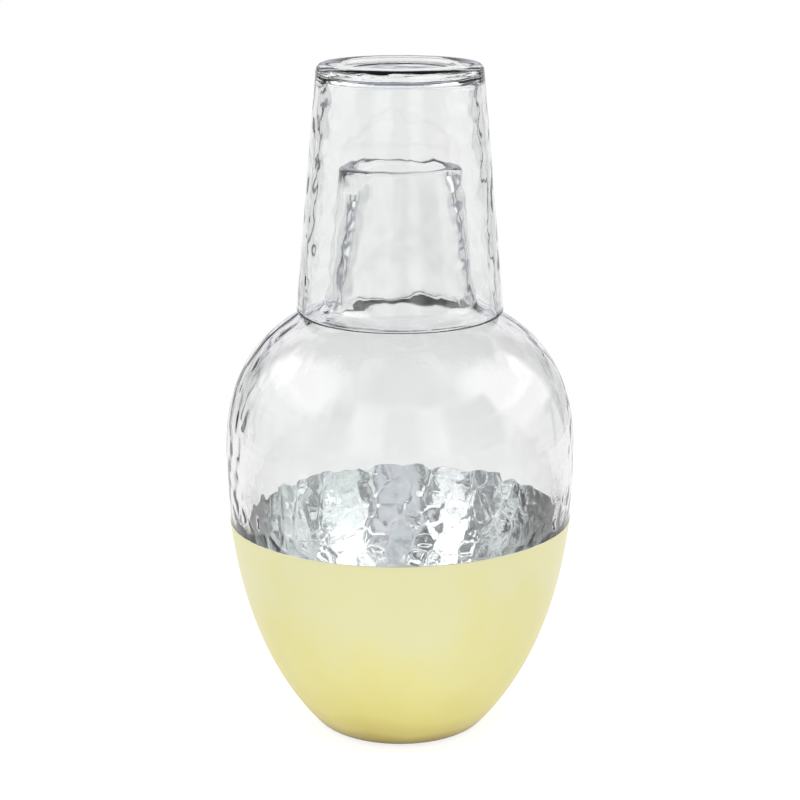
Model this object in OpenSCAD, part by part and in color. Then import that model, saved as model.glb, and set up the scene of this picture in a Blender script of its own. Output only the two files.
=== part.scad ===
// Bedside carafe with a tumbler that stands upside down over its neck.
// Both are turned about +Z. The origin is the centre of the foot, on the surface it stands on.
// Every outline is walked from the axis outwards and upwards, so outside is always on the right.

/* [Carafe body] */
// Diameter at the belly, the widest place
belly_d = 119.4; // [106:0.2:134]
// Height of the belly above the foot
belly_z = 97; // [88:0.5:106]
// Thickness of the glass in the body
wall = 2.8; // [2.2:0.1:4]
// Slope of the shoulder where it meets the neck, in degrees from level
shoulder_angle = 22; // [16:1:30]

/* [Carafe neck] */
// Overall height of the carafe without the tumbler
carafe_h = 196; // [185:0.5:208]
// Outer diameter of the lip
lip_d = 40.6; // [38:0.2:46]
// Diameter of the mouth
mouth_d = 30.6; // [26:0.2:33]
// Radius of the lip's two edges
lip_r = 1.5; // [1:0.1:2]
// Length of the neck, from where its line crosses the shoulder's up to the lip
neck_l = 46.9; // [42:0.1:52]
// Taper of the neck, in degrees from upright
neck_taper = 6.5; // [3:0.1:9]
// Radius of the hollow between shoulder and neck
root_fillet = 4; // [2:0.5:6]
// Thickness of the glass where the shoulder meets the neck
root_wall = 2.2; // [1.8:0.1:3.4]

/* [Carafe foot] */
// Outer diameter of the flat ring that the carafe stands on
foot_d = 53.8; // [46:0.2:62]
// Width of that ring
ring_w = 6; // [3:0.5:10]
// Depth of the push-up inside the ring
punt_depth = 2.5; // [1:0.1:4]
// Radius of the rounded heel
heel_r = 4; // [3:0.1:7]
// Slope of the flank where it leaves the heel, in degrees from level
heel_angle = 47.5; // [40:0.5:56]
// Height of the inner floor above the foot, on the axis
floor_z = 9; // [6.5:0.5:13]

/* [Coating] */
// Height of the dip line
dip_z = 74; // [50:0.5:92]
// Thickness of the silver layer next to the glass
mirror_t = 0.1; // [0.05:0.05:0.3]
// Thickness of the gold lacquer over the silver
lacquer_t = 0.2; // [0.1:0.05:0.4]
// Height of the bare glass left round the standing ring
bare_z = 0.4; // [0.2:0.1:1]

/* [Tumbler] */
// Outer diameter of the rim
rim_d = 70; // [66:0.2:76]
// Outer diameter of the base, before its corner is rounded
base_d = 55.2; // [53:0.2:62]
// Overall height
tumbler_h = 83.6; // [76:0.2:92]
// Thickness of the wall at the rim
rim_wall = 2.6; // [2:0.1:3.6]
// Thickness of the wall at the base
base_wall = 4.6; // [3:0.1:5]
// Thickness of the base at its ring
sham = 4.2; // [3.4:0.1:8]
// Radius of the base's outer corner
base_corner_r = 2.5; // [1.5:0.25:6]
// Radius of the inner corner between wall and base
inner_corner_r = 2.5; // [1.5:0.5:10]
// Diameter of the hollow under the base
hollow_d = 39; // [30:0.5:44]
// Depth of that hollow, and radius of the cove between its side and its floor
hollow_depth = 1.4; // [0.8:0.1:2.5]
// Gap between the rim and the shoulder it stands on
seat_gap = 0.25; // [0.2:0.05:0.6]

/* [Hidden] */

// Reach of the curves' handles: how long the flank and the shoulder hold their end directions
flank_foot_reach = 22;
flank_belly_reach = 50;
shoulder_belly_reach = 13;
shoulder_root_reach = 33.6;
floor_axis_reach = 22;
floor_flank_reach = 16;
// Share of the flank, from the heel up, where the inner floor has run into the wall
floor_end_share = 0.24;

// Steps along a curve, along an arc, along the shoulder where the seat is sought, and round the axis
curve_steps = 30;
arc_steps = 16;
seat_steps = 600;
$fn = 128;

// How far a cutting shape runs past what it cuts
overrun = 5;

belly_r = belly_d / 2;
neck_root_z = carafe_h - neck_l;
foot_r = foot_d / 2;
ring_r = foot_r - ring_w;
hollow_r = hollow_d / 2;
base_r = base_d / 2;
half_rim = rim_wall / 2;

// Unit vector at an angle from +X, and the same turned a quarter to the right
function along(a) = [cos(a), sin(a)];
function right_of(h) = [h.y, -h.x];

// Points of an arc round centre c
function arc(c, r, from, to) =
    [for (i = [0 : arc_steps]) c + r * along(from + (to - from) * i / arc_steps)];

// Point and direction on a cubic curve with the four control points p
function curve_point(p, t) =
    let (u = 1 - t)
    u * u * u * p[0] + 3 * u * u * t * p[1] + 3 * u * t * t * p[2] + t * t * t * p[3];
function curve_direction(p, t) =
    let (u = 1 - t, d = u * u * (p[1] - p[0]) + 2 * u * t * (p[2] - p[1]) + t * t * (p[3] - p[2]))
    d / norm(d);

// Points of a curve, moved out of the glass by d, from the share t0 of it to its end.
// Where d_end is given, the distance passes over to that smoothly.
function curve(p, d, t0 = 0, steps = curve_steps, d_end = undef) =
    [for (i = [0 : steps])
        let (
            t = t0 + (1 - t0) * i / steps,
            gain = is_undef(d_end) ? 0 : (d_end - d) * t * t * (3 - 2 * t)
        )
        curve_point(p, t) + (d + gain) * right_of(curve_direction(p, t))];

function reversed(list) = [for (i = [len(list) - 1 : -1 : 0]) list[i]];

// Carafe: the lip is level with two rounded edges, and the neck hangs straight from it
lip_outer_centre = [lip_d / 2 - lip_r, carafe_h - lip_r];
lip_inner_centre = [mouth_d / 2 + lip_r, carafe_h - lip_r];
neck_up = along(90 + neck_taper);
neck_top = lip_outer_centre + lip_r * right_of(neck_up);
root = neck_top - neck_up * (neck_top.y - neck_root_z) / neck_up.y;

// The hollow at the neck's root touches the shoulder's end and the neck's start
shoulder_up = along(180 - shoulder_angle);
root_tangent = root_fillet * tan((90 - shoulder_angle - neck_taper) / 2);
shoulder_end = root - root_tangent * shoulder_up;
root_centre = shoulder_end + root_fillet * right_of(shoulder_up);

// Inside, the shoulder turns up into the neck round the same centre, and the neck is the line
// that touches both that turn and the lip's inner edge
fold_r = root_fillet + root_wall;
fold_to_lip = lip_inner_centre - root_centre;
neck_inner_taper = atan2(fold_to_lip.y, fold_to_lip.x) - 90 - asin((fold_r - lip_r) / norm(fold_to_lip));

// Heel, flank and shoulder
heel_centre = [foot_r, heel_r];
heel_end = heel_centre + heel_r * along(heel_angle - 90);
belly = [belly_r, belly_z];
flank_path = [
    heel_end,
    heel_end + flank_foot_reach * along(heel_angle),
    belly - [0, flank_belly_reach],
    belly
];
shoulder_path = [
    belly,
    belly + [0, shoulder_belly_reach],
    shoulder_end - shoulder_root_reach * shoulder_up,
    shoulder_end
];

// The push-up under the foot is a cap of a large ball
punt_r = (ring_r * ring_r + punt_depth * punt_depth) / (2 * punt_depth);
punt_centre = [0, punt_depth - punt_r];
punt_edge_angle = acos(ring_r / punt_r);

// Outer face of the carafe from the middle of the push-up to the neck, moved out of the glass by d
function outer_face(d) = concat(
    arc(punt_centre, punt_r - d, 90, punt_edge_angle),
    arc(heel_centre, heel_r + d, -90, heel_angle - 90),
    curve(flank_path, d),
    curve(shoulder_path, d),
    arc(root_centre, root_fillet - d, 270 - shoulder_angle, 180 + neck_taper)
);

// Inner floor: level on the axis, and running into the inner face of the flank
floor_end = curve_point(flank_path, floor_end_share)
    - wall * right_of(curve_direction(flank_path, floor_end_share));
floor_path = [
    [0, floor_z],
    [floor_axis_reach, floor_z],
    floor_end - floor_flank_reach * curve_direction(flank_path, floor_end_share),
    floor_end
];

// Inner face of the carafe from the floor to the neck
function inner_face() = concat(
    curve(floor_path, 0),
    curve(flank_path, -wall, floor_end_share),
    curve(shoulder_path, -wall, d_end = -root_wall),
    arc(root_centre, fold_r, 270 - shoulder_angle, 180 + neck_inner_taper)
);

// The tumbler's rim is a half round. Its height is measured from the rim up.
tumbler_taper = atan((rim_d - base_d) / 2 / tumbler_h);
tumbler_up = along(90 + tumbler_taper);
rim_centre = [rim_d / 2 - half_rim, half_rim];

// Outer corner of the base, and inner corner between wall and base
base_corner = [base_r, tumbler_h];
base_tangent = base_corner_r * tan((90 - tumbler_taper) / 2);
base_centre = base_corner - base_tangent * tumbler_up - base_corner_r * right_of(tumbler_up);
inner_top_z = tumbler_h - sham;
wall_gain = (base_wall - rim_wall) / inner_top_z;
inner_taper = atan(tan(tumbler_taper) + wall_gain);
inner_up = along(90 + inner_taper);
inner_start = rim_centre - half_rim * right_of(inner_up);
inner_corner = inner_start + inner_up * (inner_top_z - inner_start.y) / inner_up.y;
inner_tangent = inner_corner_r * tan((90 - inner_taper) / 2);
inner_centre = inner_corner - inner_tangent * inner_up - inner_corner_r * right_of(inner_up);

// The hollow under the base has a level floor and a coved side
cove_centre = [hollow_r - hollow_depth, tumbler_h];

// The rim comes down on the shoulder until its half round is the seat's gap away from it
seat_r = half_rim + seat_gap;
seat_z = max([
    for (p = curve(shoulder_path, 0, steps = seat_steps))
        let (side = p.x - rim_centre.x)
        if (abs(side) < seat_r) p.y + sqrt(seat_r * seat_r - side * side)
]);

// All that lies within the carafe's outer face, moved out of the glass by d
module filled_carafe(d) {
    polygon(concat(outer_face(d), [[0, neck_root_z]]));
}

// Section of a layer on the coated glass, between two distances from it
module layer_section(from, to) {
    difference() {
        intersection() {
            filled_carafe(to);
            translate([0, bare_z])
                square([belly_r + overrun, dip_z - bare_z]);
        }
        filled_carafe(from);
    }
}

// Blown glass in one piece: push-up, heel, egg-shaped body, shoulder, tapered neck and thick lip
module carafe() {
    color([0.87, 0.90, 0.91, 0.4])
        rotate_extrude()
            polygon(concat(
                outer_face(0),
                arc(lip_outer_centre, lip_r, neck_taper, 90),
                arc(lip_inner_centre, lip_r, 90, 180 + neck_inner_taper),
                reversed(inner_face())
            ));
}

// Silver layer on the outside of the glass, seen through it from inside
module mirror_layer() {
    color([0.80, 0.81, 0.83])
        rotate_extrude()
            layer_section(0, mirror_t);
}

// Gold-tinted lacquer over the silver
module gold_lacquer() {
    color([0.90, 0.87, 0.58])
        rotate_extrude()
            layer_section(mirror_t, mirror_t + lacquer_t);
}

// Glass tumbler, rim down: tapered wall, thick base with a hollow under it
module tumbler() {
    color([0.87, 0.90, 0.91, 0.4])
        translate([0, 0, seat_z - rim_centre.y])
            rotate_extrude()
                polygon(concat(
                    arc(rim_centre, half_rim, 180 + inner_taper, 360 + tumbler_taper),
                    arc(base_centre, base_corner_r, tumbler_taper, 90),
                    arc(cove_centre, hollow_depth, 0, -90),
                    [[0, tumbler_h - hollow_depth], [0, inner_top_z]],
                    reversed(arc(inner_centre, inner_corner_r, inner_taper, 90))
                ));
}

carafe();
mirror_layer();
gold_lacquer();
tumbler();
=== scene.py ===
# Looks of the bedside carafe with its tumbler: glass that is smooth outside and hammered inside,
# a silver layer behind it below the dip line, and gold lacquer over the silver.
import math

import bpy
import numpy as np
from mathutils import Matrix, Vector, kdtree


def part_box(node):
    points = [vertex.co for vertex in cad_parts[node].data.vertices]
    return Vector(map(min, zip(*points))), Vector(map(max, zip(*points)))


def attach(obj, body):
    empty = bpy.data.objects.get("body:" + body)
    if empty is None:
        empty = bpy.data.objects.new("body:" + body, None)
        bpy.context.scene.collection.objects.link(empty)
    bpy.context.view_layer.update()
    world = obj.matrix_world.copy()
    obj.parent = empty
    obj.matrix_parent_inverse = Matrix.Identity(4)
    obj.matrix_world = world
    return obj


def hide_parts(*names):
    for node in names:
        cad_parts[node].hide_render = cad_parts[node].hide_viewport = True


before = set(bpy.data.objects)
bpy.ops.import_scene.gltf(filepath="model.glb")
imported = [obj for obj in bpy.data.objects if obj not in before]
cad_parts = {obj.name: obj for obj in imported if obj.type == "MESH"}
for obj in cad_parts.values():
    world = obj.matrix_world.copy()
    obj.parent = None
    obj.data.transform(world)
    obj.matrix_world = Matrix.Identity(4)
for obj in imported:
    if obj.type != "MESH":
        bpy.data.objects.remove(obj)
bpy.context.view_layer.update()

MM = 0.001

# Tolerances: how near points of a solid count as one place, and the radius that counts as the axis
SAME_PLACE = 1e-6
PLACE_DIGITS = 6
ON_AXIS = 1e-9

# Heights of the dip line and of the carafe's lip
DIP_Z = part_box("gold_lacquer")[1].z
LIP_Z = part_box("carafe")[1].z

# How finely the pieces are turned, the steps along the hammered walls, and how far above the dip line
# the fine steps reach
OUTER_SIDES = 192
CARAFE_INNER_SIDES = 448
TUMBLER_INNER_SIDES = 320
TUMBLER_OUTER_SIDES = 160
FINE_STEP = 0.75 * MM
COARSE_STEP = 1.15 * MM
FINE_ABOVE_DIP = 7 * MM

# Hammered walls: the length and height of the slow swell, the spacing and depth of the hammer marks,
# the share of that depth far above the dip line, and the seed
CARAFE_RELIEF = {
    "swell": (7 * MM, 0.02 * MM),
    "marks": (4.6 * MM, 0.25 * MM),
    "upper_share": 0.08,
    "seed": 7,
}
TUMBLER_RELIEF = {
    "swell": (8 * MM, 0.04 * MM),
    "marks": (5.5 * MM, 0.04 * MM),
    "upper_share": 1.0,
    "seed": 8,
}

# Swell: the number of its waves, and the least share of its length that a wave has, with the spread
# above it
SWELL_WAVES = 24
SWELL_LENGTHS = (0.7, 0.6)

# Hammer marks: the places tried for each, the least share of the depth that one has, with the spread
# above it, and the width of the creases between them
TRIES_PER_MARK = 14
MARK_DEPTHS = (0.55, 0.9)
CREASE_W = 0.4 * MM

# Lengths over which the marks die out towards a rim and above the dip line, and over which the fine
# crinkles die out above it
RIM_FADE = 9 * MM
DIP_FADE = 14 * MM
CRINKLE_FADE = 6 * MM

# Wall of the carafe: how much thicker it looks than the solid's, how far its hollow stands to the right
# of the axis, the depth below the lip where both have their full size, and the share of the greatest
# radius from which the bottom is thicker by the full amount
EXTRA_WALL = 1.5 * MM
HOLLOW_SHIFT = 1.2 * MM
LIP_FADE = 10 * MM
BOTTOM_SHARE = 0.5

# Coats: how far the silver reaches into the glass, how the dip line rises to the right and falls to the
# back, the rows of points, and how near its ends a coat has one more row, which keeps them sharp
CONTACT = 0.03 * MM
DIP_RISE = math.tan(math.radians(0.43))
DIP_FALL = math.tan(math.radians(1.12))
COAT_ROWS = 90
COAT_END_SHARE = 0.0008

# Glass: its refraction, faint clouds in its colour and roughness, and fine crinkles that come in patches.
# Clouds, patches, crinkles and grain are noise, given as the number to the metre and the levels of detail.
GLASS_IOR = 1.5
GLASS_CLOUDS = (60, 2)
GLASS_STOPS = [(0.3, (0.978, 0.982, 0.981)), (0.7, (0.990, 0.990, 0.990))]
GLASS_ROUGHNESS = (0.0, 0.006)
CRINKLED = "crinkled"
CRINKLES = (600, 3)
CRINKLE_DEPTH = 0.25 * MM
CRINKLE_PATCHES = (90, 1)
PATCH_EDGE = (0.42, 0.60)

# Silver: how metallic it is, and clouds in its colour and roughness
SILVER_METALLIC = 0.96
SILVER_CLOUDS = (140, 3)
SILVER_STOPS = [(0.3, (0.80, 0.83, 0.83)), (0.7, (0.93, 0.93, 0.94))]
SILVER_ROUGHNESS = (0.0, 0.03)

# Gold lacquer: its clear coat, its colour at these shares of its height, with a painted sheen that pales
# it towards the dip line and painted shade that darkens it towards the foot, down to a dark line at the
# foot, clouds that stretch or shrink the share by up to their reach, and a fine grain
GOLD_COAT = {"Coat Weight": 0.35, "Coat Roughness": 0.3, "Coat IOR": 1.5}
GOLD_SHEEN_AND_SHADE_STOPS = [
    (0.0, (0.20, 0.15, 0.03)), (0.025, (0.46, 0.36, 0.08)), (0.07, (0.66, 0.57, 0.17)),
    (0.18, (0.77, 0.70, 0.25)), (0.45, (0.82, 0.77, 0.35)), (0.80, (0.82, 0.79, 0.46)),
]
GOLD_CLOUDS = (30, 2)
GOLD_CLOUD_REACH = 0.9
GOLD_GRAIN = (2400, 2)
GOLD_GRAIN_DEPTH = 0.006 * MM
GOLD_ROUGHNESS = (0.34, 0.50)

# Camera: distance, height above the horizon, the height it looks at, its sensor, and its field in the
# 800 pixel frame
CAMERA_DISTANCE = 0.710
CAMERA_ELEVATION = math.radians(15.0)
CAMERA_AIM_Z = 0.1148
SENSOR_W = 36
FRAME_PX = 800
FOCAL_PX = 2072

# Stage: the floor, and the part of its brightness that doesn't depend on the light, as the camera sees
# it, in reflections and through glass
FLOOR_GAP = 0.2 * MM
FLOOR_RADIUS = 0.6
FLOOR_SHADE = 0.5
FLOOR_ROUGHNESS = 0.9
FLOOR_GLOW = 0.75
FLOOR_GLOW_REFLECTED = 0.62
FLOOR_GLOW_THROUGH = 0.48

# Studio: the even light on plain surfaces, and the colours that glass and metal see of the room
WORLD_LEVEL = 0.55
WHITE = (1.0, 1.0, 1.0)
PAPER = (0.86, 0.86, 0.86)
SHEET = (0.95, 0.95, 0.95)
GREY = (0.72, 0.73, 0.73)
SOFT_WHITE = (1.4, 1.4, 1.4)
BRIGHT = (2.4, 2.4, 2.4)
FRONT = (1.35, 1.40, 1.38)
SHADE = (0.40, 0.42, 0.44)
MEDIUM = (0.24, 0.26, 0.26)
PALE = (1.02, 1.10, 1.07)
SKY = (0.90, 0.94, 1.0)
LILAC = (0.86, 0.85, 0.89)
SLATE = (0.22, 0.24, 0.28)
DARK = (0.05, 0.06, 0.06)

# Degrees above the horizon between which the room passes from white to slate overhead
ZENITH = (36, 48)

# Bands of the room round the object, by degrees from the camera's side, each with its soft lower and
# upper edges in degrees above the horizon
UPPER_BANDS = [
    (-179, SKY), (-168, SKY), (-160, LILAC), (-144, LILAC), (-140, DARK), (-133, DARK),
    (-127, BRIGHT), (-64, BRIGHT), (-58, DARK), (-39, DARK), (-34, FRONT), (-14, FRONT),
    (-9, SHADE), (9, SHADE), (15, FRONT), (28, FRONT), (34, DARK), (71, DARK),
    (77, BRIGHT), (126, BRIGHT), (132, DARK), (147, DARK), (153, LILAC), (162, LILAC),
    (170, SKY), (179, SKY),
]
UPPER_EDGES = ((19, 24), (34, 44))

# Lower bands: the upper ones, with other colours for bright and dark at the left and at the right
LOWER_LEFT = {BRIGHT: PALE, DARK: MEDIUM}
LOWER_RIGHT = {BRIGHT: SOFT_WHITE, DARK: MEDIUM}
LOWER_BANDS = [
    (degrees, (LOWER_RIGHT if degrees > 0 else LOWER_LEFT).get(colour, colour))
    for degrees, colour in UPPER_BANDS
]
LOWER_EDGES = ((4, 7), (19, 24))

# Middle bands, just above the horizon: the lower ones, but slate all over the back
BACK_FROM = 122
MIDDLE_BANDS = [
    (degrees, SLATE if abs(degrees) > BACK_FROM else colour) for degrees, colour in LOWER_BANDS
]
MIDDLE_EDGES = ((0, 3), (4, 7))

# Bands below the horizon, with the thin dark lines that edge the glass
SIDE_BANDS = [
    (-179, PAPER), (-166, SHEET), (-160, SHEET), (-154, GREY), (-141, GREY), (-139, DARK),
    (-137, DARK), (-135, GREY), (-125, GREY), (-123, DARK), (-121, DARK), (-119, GREY),
    (119, GREY), (121, DARK), (123, DARK), (125, GREY), (135, GREY), (137, DARK),
    (139, DARK), (141, GREY), (154, GREY), (160, SHEET), (166, SHEET), (179, PAPER),
]
SIDE_EDGES = ((-17, -13), (0, 4))
STUDIO = [
    (UPPER_BANDS, UPPER_EDGES), (LOWER_BANDS, LOWER_EDGES),
    (MIDDLE_BANDS, MIDDLE_EDGES), (SIDE_BANDS, SIDE_EDGES),
]

# Soft lamps at both sides: where they stand, the angles from their middle to the end of the even part
# and to the dark, their brightness as glass and metal see it, and the softboxes that light the floor
LAMP_AZIMUTH = math.radians(85)
LAMP_ELEVATION = math.radians(36)
LAMP_EDGE = (math.radians(12), math.radians(30))
LAMP_COLOUR = (2.5, 2.5, 2.5)
SOFTBOX_DISTANCE = 1.1
SOFTBOX_W = 1.0
SOFTBOX_H = 0.6
SOFTBOX_LEVEL = 2.0


# Outlines, read from the solids

def outline(node_name):
    """Points (radius, height) of a turned node, walked from the axis to the axis with the outside on
    the right."""
    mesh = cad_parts[node_name].data
    places = {}
    for vertex in mesh.vertices:
        x, y, z = vertex.co
        if abs(y) < SAME_PLACE and x > -SAME_PLACE:
            places[vertex.index] = (round(abs(x), PLACE_DIGITS), round(z, PLACE_DIGITS))
    links = {}
    for edge in mesh.edges:
        a, b = (places.get(i) for i in edge.vertices)
        if a and b and a != b:
            links.setdefault(a, set()).add(b)
            links.setdefault(b, set()).add(a)
    ends = [place for place, near in links.items() if len(near) == 1]
    walk = [min(ends, key=lambda place: place[1])]
    while True:
        onward = [place for place in links[walk[-1]] if place not in walk[-2:]]
        if not onward:
            break
        walk.append(onward[0])
    if walk[0][0] > 0:
        walk.insert(0, (0, walk[0][1]))
    if walk[-1][0] > 0:
        walk.append((0, walk[-1][1]))
    return np.array(walk)


def run_along(points):
    """Length of the line up to each of its points."""
    return np.concatenate([[0], np.cumsum(np.hypot(*np.diff(points, axis=0).T))])


def resampled(points, step):
    """The same line with points at an even step."""
    run = run_along(points)
    places = np.linspace(0, run[-1], max(2, round(run[-1] / step) + 1))
    return np.stack([np.interp(places, run, points[:, k]) for k in (0, 1)], axis=1)


def right_normals(points):
    """Unit vectors square to a line, on its right."""
    heading = np.gradient(points, axis=0)
    heading /= np.linalg.norm(heading, axis=1)[:, None]
    return np.stack([heading[:, 1], -heading[:, 0]], axis=1)


# Meshes turned about +Z

def ring(radius, height, sides):
    """Points of one ring, or the one point on the axis."""
    if radius < ON_AXIS:
        return np.array([[0.0, 0.0, height]])
    turn = np.arange(sides) * 2 * math.pi / sides
    return np.stack([radius * np.cos(turn), radius * np.sin(turn), np.full(sides, height)], axis=1)


def ring_faces(first, count_a, second, count_b):
    """Faces between two rings, of which one may be a point or have more sides than the other."""
    faces = []
    sides = max(count_a, count_b)
    for j in range(sides):
        k = (j + 1) % sides
        a0, a1 = (first + i * count_a // sides for i in (j, k))
        b0, b1 = (second + i * count_b // sides for i in (j, k))
        face = [a0]
        for corner in (a1, b1, b0):
            if corner not in face:
                face.append(corner)
        faces.append(face)
    return faces


def new_object(name, data):
    """An object in the scene with this mesh, lamp or camera."""
    made = bpy.data.objects.new(name, data)
    bpy.context.scene.collection.objects.link(made)
    return made


def turned_piece(name, shells, material):
    """A smooth mesh of one or more shells. A shell is a list of rings in the order of its outline, and is
    closed: where it doesn't end on the axis, its last ring is joined to its first."""
    points = []
    faces = []
    for rings in shells:
        starts = np.cumsum([len(points)] + [len(ring_points) for ring_points in rings])
        pairs = list(zip(range(len(rings)), range(1, len(rings))))
        if len(rings[-1]) > 1:
            pairs.append((len(rings) - 1, 0))
        for i, j in pairs:
            faces += ring_faces(int(starts[i]), len(rings[i]), int(starts[j]), len(rings[j]))
        points += np.concatenate(rings).tolist()
    mesh = bpy.data.meshes.new(name)
    mesh.from_pydata(points, [], faces)
    mesh.polygons.foreach_set("use_smooth", [True] * len(mesh.polygons))
    mesh.materials.append(material)
    mesh.validate()
    return new_object(name, mesh)


# Hammered inner walls

def mark_middles(points, spacing, rng):
    """Middles of the hammer marks, strewn evenly over the turned line and no closer than their spacing."""
    lengths = np.hypot(*np.diff(points, axis=0).T)
    radii = (points[1:, 0] + points[:-1, 0]) / 2
    area = 2 * math.pi * (radii * lengths).sum()
    tries = int(TRIES_PER_MARK * area / spacing ** 2)
    share = np.concatenate([[0], np.cumsum(radii * lengths)])
    spots = rng.random(tries) * share[-1]
    radius = np.interp(spots, share, points[:, 0])
    height = np.interp(spots, share, points[:, 1])
    turn = rng.random(tries) * 2 * math.pi
    strewn = np.stack([radius * np.cos(turn), radius * np.sin(turn), height], axis=1)
    kept = np.empty((0, 3))
    for spot in strewn:
        if not len(kept) or ((kept - spot) ** 2).sum(axis=1).min() > spacing ** 2:
            kept = np.vstack([kept, spot])
    return kept


def marked(places, middles, spacing, depths):
    """Height of the hammer marks at each place: shallow domes that meet in creases."""
    tree = kdtree.KDTree(len(middles))
    for i, middle in enumerate(middles):
        tree.insert(middle, i)
    tree.balance()
    heights = np.empty(len(places))
    for i, place in enumerate(places):
        (_, a, near), (_, b, far) = tree.find_n(place, 2)
        gap = np.linalg.norm(middles[a] - middles[b])
        edge = (far * far - near * near) / (2 * gap)
        heights[i] = depths[a] * (1 - math.exp(-edge / CREASE_W) - (near / spacing) ** 2)
    return heights


def varied(rng, count, least, spread):
    """Random shares from the least one up."""
    return least + spread * rng.random(count)


def swelled(places, length, height, rng):
    """A smooth random swell at each place, with crests about a length apart."""
    headings = rng.normal(size=(SWELL_WAVES, 3))
    headings /= np.linalg.norm(headings, axis=1)[:, None]
    pitches = 2 * math.pi / (length * varied(rng, SWELL_WAVES, *SWELL_LENGTHS))
    starts = 2 * math.pi * rng.random(SWELL_WAVES)
    waves = np.cos(places @ (headings * pitches[:, None]).T + starts)
    return height * math.sqrt(2 / SWELL_WAVES) * waves.sum(axis=1)


def soft(share):
    """An easy passage from 0 to 1."""
    share = np.clip(share, 0, 1)
    return share * share * (3 - 2 * share)


def hammered_rings(points, sides, rim_end, swell, marks, upper_share, seed):
    """Rings of a wall with a slow swell and hammer marks, which fade out towards the rim."""
    rng = np.random.default_rng(seed)
    spacing, depth = marks
    middles = mark_middles(points, spacing, rng)
    depths = depth * varied(rng, len(middles), *MARK_DEPTHS)
    flat = [ring(radius, height, sides) for radius, height in points]
    counts = [len(places) for places in flat]
    places = np.concatenate(flat)
    share = 1 - (1 - upper_share) * soft((places[:, 2] - DIP_Z) / DIP_FADE)
    lift = share * marked(places, middles, spacing, depths) + swelled(places, *swell, rng)
    lift *= np.repeat(soft(np.hypot(*(points - rim_end).T) / RIM_FADE), counts)
    nr, nz = (np.repeat(part, counts) for part in right_normals(points).T)
    radii = np.maximum(np.repeat(points[:, 0], counts), ON_AXIS)
    places[:, :2] *= (1 + nr * lift / radii)[:, None]
    places[:, 2] += nz * lift
    return np.split(places, np.cumsum(counts)[:-1])


# Shader nodes

def add_node(tree, kind, inputs=None, **settings):
    """One shader node with its settings, and with values or links on its inputs."""
    made = tree.nodes.new(kind)
    for name, value in settings.items():
        setattr(made, name, value)
    for socket, value in (inputs or {}).items():
        if isinstance(value, bpy.types.NodeSocket):
            tree.links.new(value, made.inputs[socket])
        else:
            made.inputs[socket].default_value = value
    return made


def computed(tree, operation, *values):
    """The result of an operation on values or links."""
    return add_node(tree, "ShaderNodeMath", dict(enumerate(values)), operation=operation).outputs[0]


def object_noise(tree, scale, detail):
    """A cloudy value from 0 to 1 that is fixed to the object, with this many clouds to the metre."""
    place = add_node(tree, "ShaderNodeTexCoord")
    inputs = {"Vector": place.outputs["Object"], "Scale": scale, "Detail": detail}
    return add_node(tree, "ShaderNodeTexNoise", inputs).outputs["Fac"]


def ranged(tree, value, low, high):
    """A value from 0 to 1, spread between two others."""
    inputs = {"Value": value, "To Min": low, "To Max": high}
    return add_node(tree, "ShaderNodeMapRange", inputs).outputs[0]


def part_way(tree, value, start, end, passage="LINEAR"):
    """How far a value has come from the start to the end, from 0 to 1."""
    inputs = {"Value": value, "From Min": start, "From Max": end}
    return add_node(tree, "ShaderNodeMapRange", inputs, interpolation_type=passage).outputs[0]


def soft_step(tree, value, start, end):
    """0 before the start, 1 after the end, and a soft passage between them."""
    return part_way(tree, value, start, end, "SMOOTHSTEP")


def ramp(tree, value, stops):
    """The colour at a value between colour stops."""
    made = add_node(tree, "ShaderNodeValToRGB", {"Fac": value})
    elements = made.color_ramp.elements
    for position, colour in stops:
        elements.new(position).color = (*colour, 1)
    elements.remove(elements[0])
    elements.remove(elements[-1])
    return made.outputs[0]


def bumped(tree, height, distance, strength=1.0):
    """A normal tilted by a height."""
    inputs = {"Height": height, "Distance": distance, "Strength": strength}
    return add_node(tree, "ShaderNodeBump", inputs).outputs[0]


# Materials

def new_material(name, values):
    """A material with one principled shader that has these values, and that shader."""
    material = bpy.data.materials.new(name)
    material.use_nodes = True
    shader = material.node_tree.nodes["Principled BSDF"]
    for socket, value in values.items():
        shader.inputs[socket].default_value = value
    return material, shader


def glass_material():
    """Clear glass with faint clouds, and fine crinkles on the walls that carry them."""
    material, shader = new_material("clear_glass", {"IOR": GLASS_IOR, "Transmission Weight": 1.0})
    tree = material.node_tree
    clouds = object_noise(tree, *GLASS_CLOUDS)
    tree.links.new(ramp(tree, clouds, GLASS_STOPS), shader.inputs["Base Color"])
    tree.links.new(ranged(tree, clouds, *GLASS_ROUGHNESS), shader.inputs["Roughness"])
    crinkled = add_node(tree, "ShaderNodeAttribute", attribute_name=CRINKLED)
    patches = soft_step(tree, object_noise(tree, *CRINKLE_PATCHES), *PATCH_EDGE)
    strength = computed(tree, "MULTIPLY", crinkled.outputs["Fac"], patches)
    normal = bumped(tree, object_noise(tree, *CRINKLES), CRINKLE_DEPTH, strength)
    tree.links.new(normal, shader.inputs["Normal"])
    return material


def silver_material():
    """Silver behind the glass, a little uneven."""
    material, shader = new_material("silver_mirror", {"Metallic": SILVER_METALLIC})
    tree = material.node_tree
    clouds = object_noise(tree, *SILVER_CLOUDS)
    tree.links.new(ramp(tree, clouds, SILVER_STOPS), shader.inputs["Base Color"])
    tree.links.new(ranged(tree, clouds, *SILVER_ROUGHNESS), shader.inputs["Roughness"])
    return material


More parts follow.
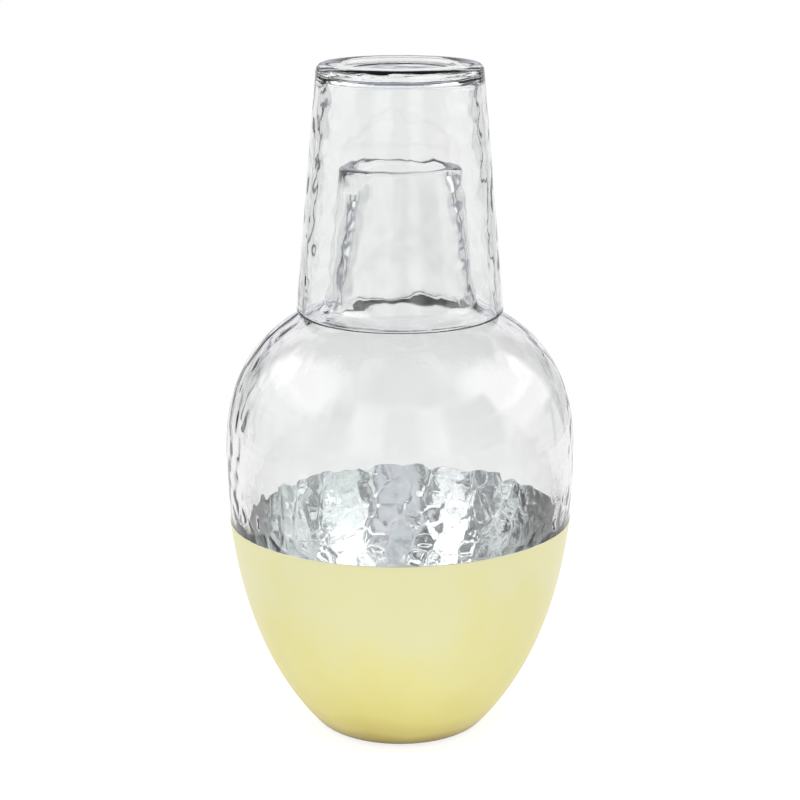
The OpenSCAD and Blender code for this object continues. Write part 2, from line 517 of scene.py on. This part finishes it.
def gold_material():
    """Satin gold lacquer with a painted sheen that pales it towards the dip line and painted shade that
    darkens it towards the foot, a little cloudy, with a fine grain.
    """
    material, shader = new_material("gold_satin", {"Metallic": 1.0, **GOLD_COAT})
    tree = material.node_tree
    place = add_node(tree, "ShaderNodeTexCoord")
    axes = add_node(tree, "ShaderNodeSeparateXYZ", {0: place.outputs["Object"]})
    low, high = (corner.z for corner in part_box("gold_lacquer"))
    height = part_way(tree, axes.outputs["Z"], low, high)
    clouds = ranged(tree, object_noise(tree, *GOLD_CLOUDS), -GOLD_CLOUD_REACH, GOLD_CLOUD_REACH)
    share = computed(tree, "MULTIPLY_ADD", clouds, height, height)
    # Painted sheen and shade: the colour pales towards the dip line and darkens towards the foot, down to
    # a dark line at the foot.
    tree.links.new(ramp(tree, share, GOLD_SHEEN_AND_SHADE_STOPS), shader.inputs["Base Color"])
    grain = object_noise(tree, *GOLD_GRAIN)
    tree.links.new(ranged(tree, grain, *GOLD_ROUGHNESS), shader.inputs["Roughness"])
    tree.links.new(bumped(tree, grain, GOLD_GRAIN_DEPTH), shader.inputs["Normal"])
    return material


# Glasses

def crinkle(piece, amounts):
    """Stores on each point of a piece how strongly its wall is crinkled."""
    piece.data.attributes.new(CRINKLED, "FLOAT", "POINT").data.foreach_set("value", amounts)


def below_lip(heights):
    """0 at the lip of the carafe, and 1 a little below it."""
    return soft((LIP_Z - heights) / LIP_FADE)


def thickened(inside):
    """The inner line of the carafe, set further in, but not at the lip or in the middle of the bottom."""
    full_radius = BOTTOM_SHARE * inside[:, 0].max()
    extra = EXTRA_WALL * below_lip(inside[:, 1]) * soft(inside[:, 0] / full_radius)
    return inside + extra[:, None] * right_normals(inside)


def make_carafe(glass):
    """The glass of the carafe, smooth outside and hammered inside."""
    line = outline("carafe")
    top = int(line[:, 1].argmax())
    turn = top + int(np.argmax(line[top:, 1] < DIP_Z + FINE_ABOVE_DIP))
    upper = resampled(line[top:turn + 1], COARSE_STEP)[1:]
    lower = resampled(line[turn:], FINE_STEP)[1:]
    inside = thickened(np.vstack([upper, lower]))
    rings = [ring(radius, height, OUTER_SIDES) for radius, height in line[:top + 1]]
    outside_count = sum(len(places) for places in rings)
    for places in hammered_rings(inside, CARAFE_INNER_SIDES, line[top], **CARAFE_RELIEF):
        places[:, 0] += HOLLOW_SHIFT * below_lip(places[:, 2])
        rings.append(places)
    piece = turned_piece("carafe_glass", [rings], glass)
    heights = np.concatenate(rings)[:, 2]
    amounts = 1 - soft((heights - DIP_Z) / CRINKLE_FADE)
    amounts[:outside_count] = 0
    crinkle(piece, amounts)
    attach(piece, "carafe")
    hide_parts("carafe")


def make_tumbler(glass):
    """The tumbler, smooth outside and hammered inside."""
    line = outline("tumbler")
    rim = int(line[:, 1].argmin())
    inside = resampled(line[:rim + 1], COARSE_STEP)[:-1]
    rings = hammered_rings(inside, TUMBLER_INNER_SIDES, line[rim], **TUMBLER_RELIEF)
    rings += [ring(radius, height, TUMBLER_OUTER_SIDES) for radius, height in line[rim:]]
    piece = turned_piece("tumbler_glass", [rings], glass)
    crinkle(piece, np.zeros(len(piece.data.vertices)))
    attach(piece, "tumbler")
    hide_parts("tumbler")


# Coats

def coated_lines():
    """The two coated stretches of the carafe's outer line: under the push-up, and from the heel up."""
    line = outline("carafe")
    line = line[:int(line[:, 1].argmax()) + 1]
    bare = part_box("gold_lacquer")[0].z
    below = np.nonzero(line[:, 1] < bare)[0]
    push_up = line[:int(below[0])]
    wall = line[int(below[-1]) + 1:]
    return push_up, wall


def coat_thickness(node_name):
    """Thickness of a coat, from its disc under the push-up, which ends on the axis on both faces."""
    disc = outline(node_name)
    return abs(disc[-1][1] - disc[0][1])


def wall_coat_rings(line, near, far):
    """Rings round the section of the wall's coat between two distances from the glass, up to the tilted
    dip line."""
    run = run_along(line)
    normals = right_normals(line)
    turn = np.arange(OUTER_SIDES) * 2 * math.pi / OUTER_SIDES
    dip_r = np.interp(DIP_Z, line[:, 1], line[:, 0])
    tilt = DIP_RISE * np.cos(turn) - DIP_FALL * np.sin(turn)
    tops = np.interp(DIP_Z + dip_r * tilt, line[:, 1], run)

    def row(share, distance):
        places = share * tops
        moved = line + distance * normals
        radius, height = (np.interp(places, run, moved[:, k]) for k in (0, 1))
        return np.stack([radius * np.cos(turn), radius * np.sin(turn), height], axis=1)

    shares = np.append(np.linspace(0, 1, COAT_ROWS), [COAT_END_SHARE, 1 - COAT_END_SHARE])
    shares = np.sort(shares)
    return [row(share, far) for share in shares] + [row(share, near) for share in shares[::-1]]


def push_up_coat_rings(line, near, far):
    """Rings of the coat's disc under the push-up, between two distances from the glass."""
    normals = right_normals(line)
    outer = line + far * normals
    inner = line + near * normals
    outer[0, 0] = inner[0, 0] = 0
    return [ring(radius, height, OUTER_SIDES) for radius, height in np.vstack([outer, inner[::-1]])]


def make_coat(name, node_name, near, far, material):
    """A coat on the outside of the glass: a shell from the heel to the dip line, and a disc under the
    push-up."""
    push_up, wall = coated_lines()
    shells = [wall_coat_rings(wall, near, far), push_up_coat_rings(push_up, near, far)]
    piece = turned_piece(name, shells, material)
    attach(piece, "carafe")
    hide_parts(node_name)


# Floor

def mirrored_rays(tree):
    """The light path of a ray, and 1 where the ray comes from glass or metal."""
    path = add_node(tree, "ShaderNodeLightPath").outputs
    return path, computed(tree, "MAXIMUM", path["Is Glossy Ray"], path["Is Transmission Ray"])


def floor_material():
    """A plain pale floor that takes the shadow."""
    material, shader = new_material("floor", {
        "Base Color": (FLOOR_SHADE, FLOOR_SHADE, FLOOR_SHADE, 1),
        "Roughness": FLOOR_ROUGHNESS,
        "Specular IOR Level": 0.0,
        "Emission Color": (*WHITE, 1),
    })
    tree = material.node_tree
    path, mirrored = mirrored_rays(tree)
    level = ranged(tree, path["Is Transmission Ray"], FLOOR_GLOW_REFLECTED, FLOOR_GLOW_THROUGH)
    glow = computed(tree, "MULTIPLY", mirrored, level)
    glow = computed(tree, "MULTIPLY_ADD", path["Is Camera Ray"], FLOOR_GLOW, glow)
    tree.links.new(glow, shader.inputs["Emission Strength"])
    return material


def make_floor():
    """A round floor just under the foot."""
    mesh = bpy.data.meshes.new("floor")
    mesh.from_pydata(ring(FLOOR_RADIUS, -FLOOR_GAP, OUTER_SIDES).tolist(), [], [range(OUTER_SIDES)])
    mesh.materials.append(floor_material())
    floor = new_object("floor", mesh)


# Studio, lamps and camera

def direction(azimuth, elevation):
    """Unit vector to a place in the studio; azimuth 0 is the camera's side, and grows to the right."""
    level = math.cos(elevation)
    return Vector((math.sin(azimuth) * level, -math.cos(azimuth) * level, math.sin(elevation)))


def place_and_aim(thing, azimuth, elevation, distance):
    """Puts a lamp or the camera at a place in the studio, and points it at the object."""
    towards = direction(azimuth, elevation)
    thing.location = Vector((0, 0, CAMERA_AIM_Z)) + distance * towards
    thing.rotation_euler = (-towards).to_track_quat("-Z", "Y").to_euler()


def sine(degrees):
    """Height on the unit sphere at these degrees above the horizon."""
    return math.sin(math.radians(degrees))


def blended(tree, share, first, second):
    """One colour passing into another. Sockets 6 and 7 of the node take its colours, and 2 gives one."""
    inputs = {0: share, 6: first, 7: second}
    return add_node(tree, "ShaderNodeMix", inputs, data_type="RGBA").outputs[2]


def between(tree, height, edges):
    """1 between two soft edges that are given in degrees above the horizon."""
    (low_start, low_end), (high_start, high_end) = [[sine(degrees) for degrees in edge] for edge in edges]
    above = soft_step(tree, height, low_start, low_end)
    below = soft_step(tree, height, high_end, high_start)
    return computed(tree, "MULTIPLY", above, below)


def lamp_share(tree, towards, azimuth):
    """1 in the even part of a soft lamp, and 0 outside it."""
    inputs = {0: towards, 1: direction(azimuth, LAMP_ELEVATION)}
    near = add_node(tree, "ShaderNodeVectorMath", inputs, operation="DOT_PRODUCT").outputs["Value"]
    even, dark = LAMP_EDGE
    return soft_step(tree, near, math.cos(dark), math.cos(even))


def studio_colour(tree):
    """What glass and metal see of the studio, by direction."""
    towards = add_node(tree, "ShaderNodeTexCoord").outputs["Generated"]
    axes = add_node(tree, "ShaderNodeSeparateXYZ", {0: towards}).outputs
    front = computed(tree, "MULTIPLY", axes["Y"], -1.0)
    azimuth = computed(tree, "ARCTAN2", axes["X"], front)
    share = part_way(tree, azimuth, -math.pi, math.pi)
    zenith = soft_step(tree, axes["Z"], *(sine(degrees) for degrees in ZENITH))
    colour = blended(tree, zenith, (*WHITE, 1), (*SLATE, 1))
    for lamp_azimuth in (-LAMP_AZIMUTH, LAMP_AZIMUTH):
        lit = lamp_share(tree, towards, lamp_azimuth)
        colour = blended(tree, lit, colour, (*LAMP_COLOUR, 1))
    for bands, edges in STUDIO:
        round_about = ramp(tree, share, [(degrees / 360 + 0.5, shade) for degrees, shade in bands])
        colour = blended(tree, between(tree, axes["Z"], edges), colour, round_about)
    return colour


def make_world():
    """White for the camera, the studio for glass and metal, and an even light for the rest."""
    world = bpy.data.worlds.new("studio")
    bpy.context.scene.world = world
    world.use_nodes = True
    tree = world.node_tree
    tree.nodes.clear()
    path, mirrored = mirrored_rays(tree)

    def background(colour, strength):
        return add_node(tree, "ShaderNodeBackground", {"Color": colour, "Strength": strength}).outputs[0]

    def mixed(share, first, second):
        return add_node(tree, "ShaderNodeMixShader", {0: share, 1: first, 2: second}).outputs[0]

    plain = background((*WHITE, 1), WORLD_LEVEL)
    studio = background(studio_colour(tree), 1.0)
    white = background((*WHITE, 1), 1.0)
    seen = mixed(path["Is Camera Ray"], mixed(mirrored, plain, studio), white)
    add_node(tree, "ShaderNodeOutputWorld", {"Surface": seen})


def make_softbox(name, azimuth):
    """A softbox at one side that lights the floor. Glass and metal see the soft lamp of the studio there
    instead."""
    data = bpy.data.lights.new(name, "AREA")
    data.shape = "RECTANGLE"
    data.size = SOFTBOX_W
    data.size_y = SOFTBOX_H
    data.energy = SOFTBOX_LEVEL * math.pi * SOFTBOX_W * SOFTBOX_H
    lamp = new_object(name, data)
    place_and_aim(lamp, azimuth, LAMP_ELEVATION, SOFTBOX_DISTANCE)
    lamp.visible_glossy = False
    lamp.visible_transmission = False


def make_camera():
    """The camera, at the angle of the photograph."""
    data = bpy.data.cameras.new("camera")
    data.sensor_width = SENSOR_W
    data.lens = FOCAL_PX / FRAME_PX * SENSOR_W
    camera = new_object("camera", data)
    place_and_aim(camera, 0, CAMERA_ELEVATION, CAMERA_DISTANCE)
    bpy.context.scene.camera = camera


# The whole scene

glass = glass_material()
make_carafe(glass)
make_tumbler(glass)
silver_t = coat_thickness("mirror_layer")
gold_t = coat_thickness("gold_lacquer")
make_coat("silver_layer", "mirror_layer", -CONTACT, silver_t, silver_material())
make_coat("gold_coat", "gold_lacquer", silver_t, silver_t + gold_t, gold_material())
make_floor()
make_world()
make_softbox("softbox_left", -LAMP_AZIMUTH)
make_softbox("softbox_right", LAMP_AZIMUTH)
make_camera()
bpy.context.scene.view_settings.view_transform = "Standard"
